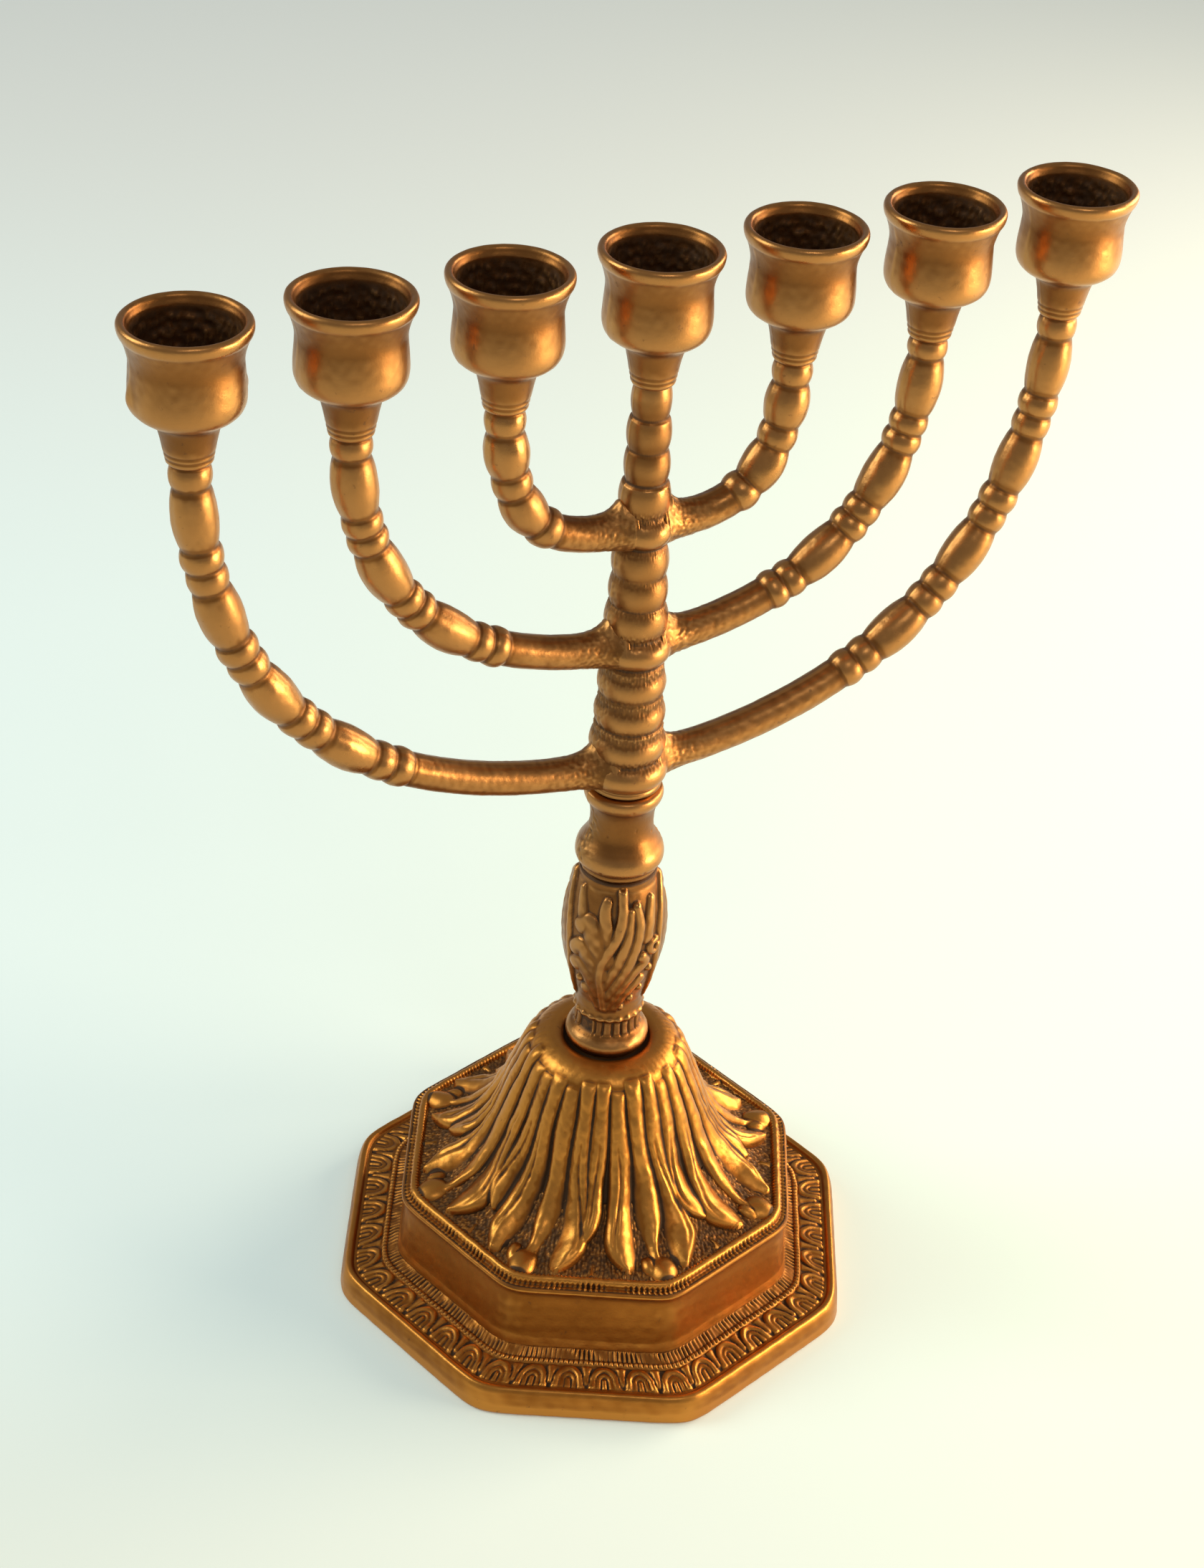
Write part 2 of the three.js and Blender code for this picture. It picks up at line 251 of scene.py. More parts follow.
class Nodes:
    """A short way to write a material's nodes."""

    def __init__(self, name):
        self.material = bpy.data.materials.new(name)
        self.material.use_nodes = True
        self.tree = self.material.node_tree
        self.tree.nodes.clear()

    def add(self, kind, inputs=None, **settings):
        node = self.tree.nodes.new(kind)
        for key, value in settings.items():
            setattr(node, key, value)
        for key, value in (inputs or {}).items():
            if isinstance(value, bpy.types.NodeSocket):
                self.tree.links.new(value, node.inputs[key])
            else:
                node.inputs[key].default_value = value
        return node

    def math(self, operation, a, b=0.0, clamp=False):
        node = self.add("ShaderNodeMath", {0: a, 1: b}, operation=operation, use_clamp=clamp)
        return node.outputs[0]

    def spread(self, value, low, high, to_low=0.0, to_high=1.0):
        inputs = {"Value": value, "From Min": low, "From Max": high}
        inputs.update({"To Min": to_low, "To Max": to_high})
        node = self.add("ShaderNodeMapRange", inputs, interpolation_type="SMOOTHSTEP")
        return node.outputs["Result"]

    def attribute(self, name):
        return self.add("ShaderNodeAttribute", attribute_name=name).outputs["Fac"]

    def noise(self, place, scale, detail=3.0, roughness=0.55, kind="FBM"):
        inputs = {"Vector": place, "Scale": scale, "Detail": detail, "Roughness": roughness}
        return self.add("ShaderNodeTexNoise", inputs, noise_type=kind).outputs[0]

    def bump(self, height, strength, distance):
        inputs = {"Strength": strength, "Distance": distance, "Height": height}
        return self.add("ShaderNodeBump", inputs).outputs[0]

    def mix(self, share, a, b):
        node = self.add("ShaderNodeMix", data_type="RGBA")
        for socket, value in ((0, share), (6, a), (7, b)):
            if isinstance(value, bpy.types.NodeSocket):
                self.tree.links.new(value, node.inputs[socket])
            else:
                node.inputs[socket].default_value = value
        return node.outputs[2]


def colour(r, g, b):
    return (r, g, b, 1.0)


def brass(name, body, worn, tarnish, dirt_and_shade, roughness, bump, fine_range, broad_range, depth):
    """Cast brass: worn bright on ridges, tarnished in clouds, brown-black in the hollows, and painted
    shade in the recesses that a piece marks.
    """
    n = Nodes(name)
    place = n.add("ShaderNodeTexCoord").outputs["Object"]
    fine = n.attribute("fine")
    broad = n.attribute("broad")
    sand = n.attribute("sand")
    grime_and_shade = n.attribute("grime_and_shade")
    clouds = n.noise(place, 38.0, 5.0, 0.6)
    smears = n.noise(place, 150.0, 4.0, 0.6)
    specks = n.noise(place, 520.0, 4.0, 0.65)
    grain = n.noise(place, 1700.0, 3.0, 0.6)
    wander = n.math("MULTIPLY", n.math("SUBTRACT", specks, 0.5), 0.06)
    drift = n.math("MULTIPLY", n.math("SUBTRACT", smears, 0.5), 0.35)
    in_fine = n.spread(n.math("ADD", fine, wander), *fine_range)
    in_broad = n.spread(n.math("ADD", broad, drift), *broad_range)
    soot_and_shade = n.math("MULTIPLY", n.math("MAXIMUM", in_fine, in_broad), depth)
    patchy = n.spread(specks, 0.35, 0.62, 0.55, 1.3)
    # Painted shade: recesses marked on a piece darken towards the darkest colour, as dirt does on other
    # pieces.
    soot_and_shade = n.math("MAXIMUM", soot_and_shade, n.math("MULTIPLY", grime_and_shade, patchy))
    soot_and_shade = n.math("MAXIMUM", soot_and_shade, n.math("MULTIPLY", n.spread(specks, 0.64, 0.74), 0.40))
    soot_and_shade = n.math("MINIMUM", soot_and_shade, 0.97)
    lifted = n.math("ADD", fine, n.math("MULTIPLY", broad, 0.25))
    ridge = n.spread(n.math("MULTIPLY", lifted, -1.0), 0.01, 0.12)
    base = n.mix(n.spread(clouds, 0.36, 0.70), body, tarnish)
    base = n.mix(n.math("MULTIPLY", n.spread(smears, 0.45, 0.72), 0.35), base, tarnish)
    base = n.mix(n.math("MULTIPLY", ridge, 0.75), base, worn)
    base = n.mix(n.math("MULTIPLY", sand, 0.50), base, colour(0.30, 0.165, 0.06))
    base = n.mix(soot_and_shade, base, dirt_and_shade)
    rough = n.spread(clouds, 0.3, 0.7, roughness - 0.04, roughness + 0.08)
    rough = n.math("ADD", rough, n.math("MULTIPLY", n.math("SUBTRACT", specks, 0.5), 0.22))
    rough = n.math("SUBTRACT", rough, n.math("MULTIPLY", ridge, 0.05))
    rough = n.math("ADD", rough, n.math("MULTIPLY", soot_and_shade, 0.28))
    rough = n.math("ADD", rough, n.math("MULTIPLY", sand, 0.20), clamp=True)
    height = n.math("ADD", n.math("MULTIPLY", specks, 0.8), n.math("MULTIPLY", grain, 0.35))
    bumped = n.bump(height, bump, 0.00022)
    metallic = n.math("SUBTRACT", 1.0, n.math("MULTIPLY", soot_and_shade, 0.55))
    inputs = {"Base Color": base, "Metallic": metallic, "Roughness": rough, "Normal": bumped}
    shader = n.add("ShaderNodeBsdfPrincipled", inputs)
    n.add("ShaderNodeOutputMaterial", {"Surface": shader.outputs[0]})
    return n.material


def steel(name):
    """Plated steel, dulled, with rust-brown spots."""
    n = Nodes(name)
    place = n.add("ShaderNodeTexCoord").outputs["Object"]
    clouds = n.noise(place, 180.0, 4.0, 0.6)
    grain = n.noise(place, 1800.0, 3.0, 0.6)
    rust = n.spread(clouds, 0.56, 0.72)
    base = n.mix(rust, colour(0.40, 0.38, 0.35), colour(0.16, 0.08, 0.04))
    rough = n.spread(rust, 0.0, 1.0, 0.34, 0.75)
    bumped = n.bump(grain, 0.25, 0.0001)
    metallic = n.math("SUBTRACT", 1.0, n.math("MULTIPLY", rust, 0.7))
    inputs = {"Base Color": base, "Metallic": metallic, "Roughness": rough, "Normal": bumped}
    shader = n.add("ShaderNodeBsdfPrincipled", inputs)
    n.add("ShaderNodeOutputMaterial", {"Surface": shader.outputs[0]})
    return n.material


# Each brass's darkest colour serves both for dirt in the hollows and for painted shade in recesses.
aged = brass(
    "aged_brass",
    body=colour(0.295, 0.115, 0.029),
    worn=colour(0.54, 0.245, 0.074),
    tarnish=colour(0.220, 0.085, 0.022),
    dirt_and_shade=colour(0.050, 0.024, 0.010),
    roughness=0.36,
    bump=0.26,
    fine_range=(0.03, 0.22),
    broad_range=(0.22, 1.0),
    depth=0.80,
)
golden = brass(
    "golden_brass",
    body=colour(0.39, 0.135, 0.021),
    worn=colour(0.66, 0.27, 0.050),
    tarnish=colour(0.30, 0.100, 0.015),
    dirt_and_shade=colour(0.036, 0.018, 0.006),
    roughness=0.40,
    bump=0.28,
    fine_range=(0.02, 0.15),
    broad_range=(0.12, 0.75),
    depth=0.92,
)
plated = steel("steel_hardware")


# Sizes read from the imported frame


def top_of(node):
    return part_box(node)[1].z / MM


def foot_of(node):
    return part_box(node)[0].z / MM


def middle_of(node):
    low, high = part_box(node)
    return (low.x + high.x) / 2 / MM


CUP_X = [middle_of(f"candle_cup_{i}") for i in range(1, 8)]
PITCH = CUP_X[4] - CUP_X[3]
RIM_Z = top_of("candle_cup_4")
NECK_Z = foot_of("candle_cup_4")
COLUMN_FOOT = foot_of("centre_column")
COLLAR_FOOT = foot_of("spool_collar")
COLLAR_TOP = top_of("spool_collar")
BALUSTER_FOOT = foot_of("leaf_baluster")
BALUSTER_TOP = top_of("leaf_baluster")
BASE_TURN = -27.5  # degrees, of the octagon's side 0
SIDES = 8
SECTOR = TAU / SIDES


# The octagonal tiers


def octagon(angle, apothem, hardness=38):
    """Radius of an octagon with softened corners at each angle; a side faces angle 0."""
    total = sum(np.maximum(np.cos(angle - k * SECTOR), 1e-3) ** hardness for k in range(SIDES))
    return apothem / total ** (1 / hardness)


def side_angles(count):
    """Angles of points spaced evenly along the sides of an octagon, from the middle of side 0."""
    u = np.arange(count) / count * SIDES
    side = np.round(u)
    return side * SECTOR + np.arctan((u - side) * 2 * math.tan(SECTOR / 2))


def side_place(angle):
    """How far along the sides an angle lies: whole numbers are sides' middles."""
    side = np.round(angle / SECTOR)
    return side + np.tan(angle - side * SECTOR) / math.tan(SECTOR / 2) / 2


def tiered(profile, count):
    """An [apothem, z] profile swept around an octagon, and each column's place along the sides."""
    angle = side_angles(count)
    radius = octagon(angle, 1.0) * profile[:, :1]
    return around_stem(radius, angle, profile[:, 1:]), side_place(angle)


def lower_tier():
    """The widest tier, with a ring of pointed arches on its sloping top."""
    edge = [[56.3, 0], [56.95, 0.5], [56.95, 1.5], [56.7, 4.0], [56.4, 5.3], [56.1, 6.1]]
    lip = [[55.6, 6.75], [54.8, 6.75], [54.3, 6.35], [54.1, 6.1], [53.8, 6.15]]
    outside = spline(edge + lip, [2, 2, 4, 3, 3, 4, 4, 3, 2, 2])
    band = straight([[53.8, 6.15], [47.9, 7.35]], 0.2)
    under = straight([[47.9, 7.35], [45.5, 6.6], [44, 3.8], [52, 3.8], [53, 0], [56.3, 0]], 4)
    profile = np.vstack([outside[:-1], band[:-1], under[:-1]])
    grid, place = tiered(profile, 1152)
    apothem = profile[:, :1]
    row = np.arange(len(profile))[:, None]
    on_band = (row >= len(outside) - 1) & (row < len(outside) + len(band) - 2)
    arches = 43
    phase = (place + 2 + 0.5 - 0.04) * arches / SIDES
    x = (phase - np.round(phase)) * 8.5 * apothem / 51
    y = (53.8 - apothem) * 1.02
    over = np.maximum(y - 2.3, 0)
    splay = x / (1 + 0.16 * np.maximum(2.3 - y, 0) / 2.3)
    pointed = (np.abs(splay) ** 1.7 + (0.92 * over) ** 1.7) ** (1 / 1.7)
    outer = dome_of(pointed - 2.75, 0.80) * 0.66
    inner = dome_of(pointed - 1.45, 0.58) * 0.42
    tongue = dome_of(splay, 0.55) * ramp(3.4, 2.4, y) * 0.45
    gap = 4.25 - np.abs(x)
    dart = dome_of(gap, 0.40 + 0.22 * np.clip(y - 1.2, 0, 5)) * ramp(0.8, 1.8, y) * 0.55
    relief = np.maximum(np.maximum(outer, inner), np.maximum(tongue, dart))
    relief = relief * ramp(0.0, 0.6, y) * ramp(6.1, 5.5, y)
    relief = relief - 0.34 * ramp(0.0, 0.35, y) * ramp(6.15, 5.9, y)
    wobble = 0.08 * lumps(grid, 3.0, 21) + 0.05 * lumps(grid, 1.1, 22)
    carved = relief * (0.85 + 0.30 * lumps(grid, 2.2, 23)) + wobble * 0.8
    height = np.where(on_band, carved, wobble * 0.30)
    height = np.where(row < len(outside) + len(band) - 1, height, 0)
    grid = turned_about_z(raised(grid, height), BASE_TURN)
    grid[..., 2] = np.maximum(grid[..., 2], 0)  # the roughness of the foot stays above the floor
    stands_for = ["base_lower_tier"]
    reach = {"fine": (1, 2), "broad": (4, 6)}
    piece("base_lower_tier_cast", grid, golden, "base", "golden_brass", stands_for, **reach)


def foot_strip():
    """The beaded line and the milled strip between the arches and the middle tier's foot."""
    edge = [[48.1, 7.1], [47.95, 7.5], [47.2, 7.75], [46.6, 7.7], [44.6, 8.6], [44.0, 8.9]]
    top = straight(edge, 0.16)
    under = straight([[44.0, 8.9], [43.0, 8.6], [43.0, 6.4], [47.6, 6.4], [48.1, 7.1]], 2.5)
    profile = np.vstack([top[:-1], under[:-1]])
    per_side = 36
    grid, place = tiered(profile, SIDES * per_side * 6)
    apothem = profile[:, :1]
    wave = np.cos(place * per_side * TAU + 0.5 * lumps(grid, 9.0, 30))
    coarse = np.cos(place * per_side * TAU + 0.9 * lumps(grid, 4.0, 31))
    beads = dome_of(apothem - 47.35, 0.55) * (0.22 + 0.22 * wave)
    hatch = dome_of(apothem - 45.55, 1.15, 4) * (0.20 * coarse - 0.04)
    height = beads + hatch * (0.6 + 0.6 * lumps(grid, 2.5, 32)) + 0.07 * lumps(grid, 0.9, 33)
    visible = (np.arange(len(profile)) < len(top) - 1)[:, None]
    grid = turned_about_z(raised(grid, np.where(visible, height, 0)), BASE_TURN)
    reach = {"fine": (2, 3), "broad": (5, 9)}
    piece("base_milled_strip", grid, golden, "base", "golden_brass", grime_and_shade=0.22, **reach)


def middle_tier():
    """The plain wall of the second tier and the lip on its top edge."""
    wall = [[44.4, 8.4], [44.25, 9.2], [43.7, 12], [43.3, 16], [43.05, 20], [42.95, 22.2]]
    lip = [[43.1, 23.2], [43.55, 23.9], [43.75, 24.45], [43.55, 24.95], [43.1, 25.15]]
    outside = spline(wall + lip, [3, 6, 8, 8, 5, 4, 3, 3, 3, 3])
    inside = [[43.1, 25.15], [40.5, 24.8], [40.0, 23.5], [39.8, 22.6], [41.2, 8.7], [44.4, 8.4]]
    under = straight(inside, 5)
    profile = np.vstack([outside[:-1], under[:-1]])
    grid, _ = tiered(profile, 1152)
    visible = (np.arange(len(profile)) < len(outside) - 1)[:, None]
    height = 0.03 * lumps(grid, 7.0, 41) + 0.022 * lumps(grid, 1.6, 42)
    grid = turned_about_z(raised(grid, np.where(visible, height, 0)), BASE_TURN)
    stands_for = ["base_middle_tier"]
    reach = {"fine": (2, 3), "broad": (5, 8)}
    piece("base_middle_tier_cast", grid, golden, "base", "golden_brass", stands_for, **reach)


def groove_band():
    """The hatched groove and the roped bead on the middle tier's top edge."""
    top = straight([[43.3, 25.0], [42.6, 25.15], [42.1, 25.2]], 0.15)
    bead = [[42.1, 25.2], [41.95, 25.5], [41.9, 26.1], [41.6, 26.7]]
    back = [[41.0, 26.95], [40.4, 26.75], [40.05, 26.2], [39.8, 25.9]]
    rise = spline(bead + back, 3)
    under = straight([[39.8, 25.9], [39.2, 25.6], [39.2, 23.8], [42.4, 23.8], [43.3, 25.0]], 2.5)
    profile = np.vstack([top[:-1], rise[:-1], under[:-1]])
    per_side = 30
    grid, place = tiered(profile, SIDES * per_side * 7)
    apothem, z = profile[:, :1], profile[:, 1:]
    wave = np.cos(place * per_side * TAU + 0.7 * lumps(grid, 5.0, 51))
    hatch = dome_of(apothem - 42.5, 0.75, 4) * 0.24 * wave
    twist = np.cos(place * per_side * 7 / 6 * TAU)
    rope = dome_of(apothem - 40.35, 0.5) * (z > 25.7) * 0.14 * twist
    height = hatch * (0.6 + 0.5 * lumps(grid, 3.0, 52)) + rope * (0.7 + 0.6 * lumps(grid, 9.0, 53))
    height = height + 0.045 * lumps(grid, 1.6, 54)
    visible = (np.arange(len(profile)) < len(top) + len(rise) - 2)[:, None]
    grid = turned_about_z(raised(grid, np.where(visible, height, 0)), BASE_TURN)
    reach = {"fine": (2, 3), "broad": (5, 9)}
    piece("base_top_bead", grid, golden, "base", "golden_brass", **reach)


def ground():
    """The pebbled ground between the leaf tips and the top bead."""
    top = spline([[26.5, 35.6], [28.8, 33.1], [31.4, 30.5], [34.3, 28.2], [37.0, 26.8], [40.3, 26.0]], 9)
    inside = [[40.3, 26.0], [40.6, 25.0], [36.8, 25.4], [33.8, 26.8], [30.6, 29.0], [26.2, 34.4]]
    under = straight(inside + [[26.5, 35.6]], 3)
    profile = np.vstack([top[:-1], under[:-1]])[::-1]
    angle = side_angles(1440)
    squareness = ramp(33, 40, profile[:, :1])
    radius = profile[:, :1] * (1 + squareness * (octagon(angle, 1.0) - 1))
    grid = around_stem(radius, angle, profile[:, 1:])
    stones = cells(grid[..., 0], grid[..., 1], 0.85, 61)
    height = 0.34 * np.clip(1 - (stones / 0.55) ** 2, 0, 1) - 0.22 + 0.12 * lumps(grid, 4.0, 62)
    visible = (np.arange(len(profile)) < len(top) - 1)[::-1, None]
    grid = turned_about_z(raised(grid, np.where(visible, height, 0)), BASE_TURN)
    reach = {"fine": (1, 2), "broad": (4, 7)}
    piece("base_pebbled_ground", grid, golden, "base", "golden_brass", grime_and_shade=0.62, **reach)


def lobe(t, power):
    """A leaf's cross section, from its edge at -1 to its edge at 1."""
    return np.clip(1 - np.abs(t) ** 2, 0, 1) ** power


def leaf_relief(angle, radius, s):
    """Height of the dome's leaves. s is the distance down the dome's face from the shoulder."""
    relief = np.zeros(radius.shape)
    half_gap = math.radians(6.1)
    for nth in range(SIDES):
        for kind, at in (("drop", 0.0), ("leaf", 11.8), ("leaf", -11.8), ("middle", 22.5)):
            key = nth * 7 + at
            toward_corner = -np.sign(at) if kind == "leaf" else (1 if hashed(nth, at, 2) > 0.5 else -1)
            centre = (nth + 0.5) * SECTOR + math.radians(at)
            off = np.angle(np.exp(1j * (angle - centre)))
            lean = (hashed(nth, at, 3) - 0.5) * math.radians(2.4)
            tip = {"drop": 45.0, "leaf": 46.2, "middle": 40.5}[kind] + 2.4 * (hashed(nth, at, 5) - 0.5)
            curve = math.radians(1.5) * np.sin(s / 7.6 + key) * ramp(9, 26, s)
            curl = math.radians(2.6) * ramp(tip - 11, tip, s) ** 2 * toward_corner
            d = (off - lean * ramp(6, 20, s) - curve - curl * (kind != "drop")) * radius
            width = half_gap * radius * (1.0 + 0.10 * np.sin(s / 4.3 + key * 3))
            width = width * (1 + 0.16 * ramp(27, 38, s) * (kind != "drop"))
            taper = np.clip(1 - np.clip((s - tip + 8) / 8, 0, 1) ** 2.3, 0, 1) ** 0.55
            narrow = 1 - 0.55 * ramp(34, 43, s) if kind == "drop" else taper
            width = np.maximum(width * narrow * (s < tip + 2), 1e-3)
            first = 2.6 + 3.0 * hashed(nth, at, 8)
            tall = 1.15 + 0.75 * ramp(8, 30, s)
            if kind == "leaf":
                tall = tall + 1.25 * np.exp(-(((s - tip + 4.5) / 4.5) ** 2))
            if kind == "middle":
                tall = tall + 0.7 * np.exp(-(((s - tip + 4.0) / 4.0) ** 2)) - 0.15
            t = np.clip(d / width, -1.0, 1.0)
            skew = 0.32 * toward_corner * ramp(14, 34, s)
            t = t + skew * (1 - t * t)
            fold = 0.34 * np.exp(-(((t + 0.18 * np.sin(s / 5 + key)) / 0.17) ** 2)) * ramp(13, 26, s)
            fold = fold * ramp(tip - 1, tip - 6, s) * (kind != "drop")
            rounded_top = np.sqrt(np.clip(1 - np.clip((first + 6 - s) / 6, 0, 1) ** 2, 0, 1))
            rise = (tall * lobe(t, 0.68) - fold) * rounded_top * (width > 0.02)
            relief = np.maximum(relief, rise)
        centre = (nth + 0.5) * SECTOR
        d = np.angle(np.exp(1j * (angle - centre))) * radius - 0.8 * (hashed(nth, 2, 4) - 0.4)
        ball = np.clip(1 - (d / 3.5) ** 2 - ((s - 46.2) / 3.0) ** 2, 0, 1) ** 0.6 * 2.6
        hook = np.clip(1 - ((d + 2.9) / 1.9) ** 2 - ((s - 45.0) / 2.1) ** 2, 0, 1) ** 0.55 * 2.2
        relief = np.maximum(relief, np.maximum(ball, hook))
        off = np.angle(np.exp(1j * (angle - nth * SECTOR))) * radius
        dart = np.clip(1 - np.abs(off) / (0.2 + 0.6 * np.clip(s - 44.6, 0, 3.4)), 0, 1)
        relief = np.maximum(relief, dart * (s > 44.6) * (s < 48.4) * 1.3)
    return relief


def leaf_dome():
    shoulder = spline([[9.45, 61.8], [9.65, 62.3], [10.3, 62.65], [11.5, 62.85], [13.0, 62.7]], 3)
    upper = [[13.0, 62.7], [15.0, 61.8], [16.8, 60.1], [18.3, 57.6], [19.6, 54.8], [20.7, 52.2]]
    lower = [[22.4, 47], [24.4, 41.2], [27.3, 35.8], [31.4, 30.9], [34.5, 28.3], [37.5, 26.7]]
    face = spline(upper + lower + [[41.0, 25.9]], [3, 4, 6, 6, 6, 12, 13, 14, 14, 10, 8, 8])
    inside = [[41.0, 25.9], [41.0, 24.9], [37, 25.2], [31, 26.4], [27.6, 30], [23, 35.5]]
    core = [[18.2, 45], [15.2, 53], [13, 56], [3.4, 56], [3.4, 61.7], [9.45, 61.8]]
    under = straight(inside + core, 5)
    profile = np.vstack([shoulder[:-1], face[:-1], under[:-1]])
    count = 688
    angle = np.arange(count) / count * TAU
    travelled = np.full(len(profile), -1.0)
    start = len(shoulder) - 1
    travelled[start : start + len(face) - 1] = along(face)[:-1]
    profile, travelled = profile[::-1], travelled[::-1]
    s = travelled[:, None]
    squareness = ramp(35, 41, profile[:, :1])
    radius = profile[:, :1] * (1 + squareness * (octagon(angle, 1.0) - 1))
    grid = around_stem(radius, angle, profile[:, 1:])
    relief = leaf_relief(angle, radius, s)
    sunk = 0.95 * ramp(2.5, 12, s)
    uneven = 0.13 * lumps(grid, 2.8, 71) * ramp(8, 24, s) + 0.035 * lumps(grid, 0.9, 72)
    height = np.where(s >= 0, relief - sunk + uneven, 0)
    grid = turned_about_z(raised(grid, height), BASE_TURN)
    # Painted shade in the crevices between the leaves, darker where the relief is lower.
    crevice = np.clip(0.85 - relief / 1.1, 0, 1) * ramp(7, 24, s) * (s >= 0)
    stands_for = ["base_dome_foot", "base_dome_neck"]
    reach = {"fine": (1, 3), "broad": (4, 9)}
    reach["grime_and_shade"] = crevice * 0.8
    piece("base_leaf_dome", grid, golden, "base", "golden_brass", stands_for, **reach)


# The baluster and the collar


def stroke(x, z, points, width, tall, taper=0.6):
    """A raised line through the given points, rounded in section, thinning towards its end."""
    line = spline(points, 7)
    share = np.linspace(0, 1, len(line))
    best = np.zeros(np.shape(x))
    for a, b, t in zip(line[:-1], line[1:], share):
        run = b - a
        along_it = np.clip(((x - a[0]) * run[0] + (z - a[1]) * run[1]) / (run @ run), 0, 1)
        away = np.hypot(x - a[0] - run[0] * along_it, z - a[1] - run[1] * along_it)
        here = width * (1 - taper * t)
        best = np.maximum(best, dome_of(away, here) * tall)
    return best


